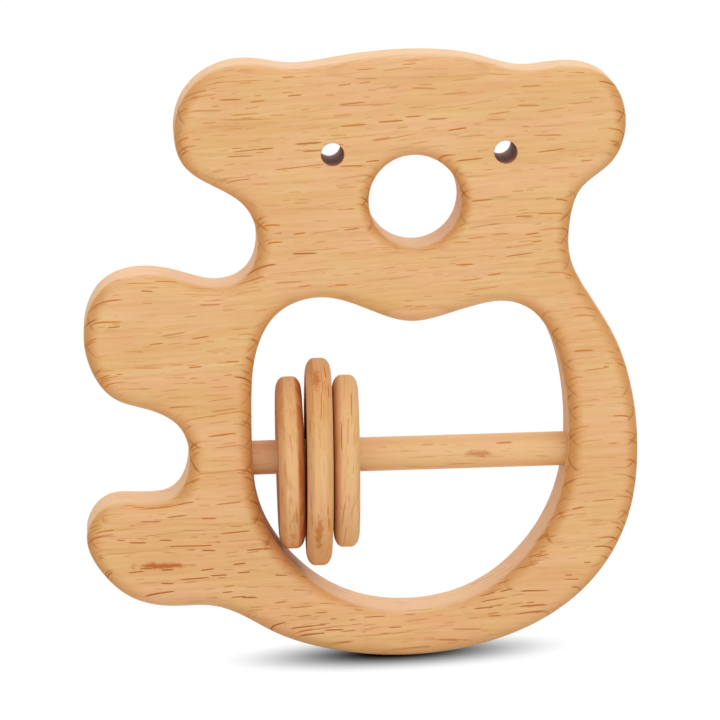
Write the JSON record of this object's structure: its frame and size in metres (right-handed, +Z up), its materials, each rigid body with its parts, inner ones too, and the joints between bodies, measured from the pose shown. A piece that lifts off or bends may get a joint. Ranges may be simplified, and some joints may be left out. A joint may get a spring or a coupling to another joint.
{
  "type": "wooden baby rattle",
  "caption": "Flat beech rattle in the outline of a koala, with a belly opening crossed by a dowel on which loose turned rings slide and clack.",
  "frame": {"origin": "under the middle of the plate's width and thickness, level with the plate's lowest edge", "axes": "+Z up towards the crown, +X to the right as seen from the front, +Y towards the back; the face looks along -Y"},
  "size_m": [0.0966, 0.0366, 0.106],
  "materials": {
    "beech_plate": "sanded beech, oiled, satin",
    "beech_dowel": "sanded beech, oiled, satin",
    "beech_ring": "turned beech, oiled, satin"
  },
  "bodies": {
    "frame": {"koala_plate": "beech_plate", "dowel": "beech_dowel"},
    "ring_left": {"ring_left": "beech_ring"},
    "ring_middle": {"ring_middle": "beech_ring"},
    "ring_right": {"ring_right": "beech_ring"}
  },
  "joints": [
    {"name": "ring_left_slide", "type": "slide", "parent": "frame", "child": "ring_left", "axis": [0.9999, 0, 0.014], "range_m": [0, 0.0103]},
    {"name": "ring_middle_slide", "type": "slide", "parent": "ring_left", "child": "ring_middle", "axis": [0.9999, 0, 0.014], "range_m": [0, 0.0103]},
    {"name": "ring_right_slide", "type": "slide", "parent": "ring_middle", "child": "ring_right", "axis": [0.9999, 0, 0.014], "range_m": [0, 0.0103]}
  ]
}
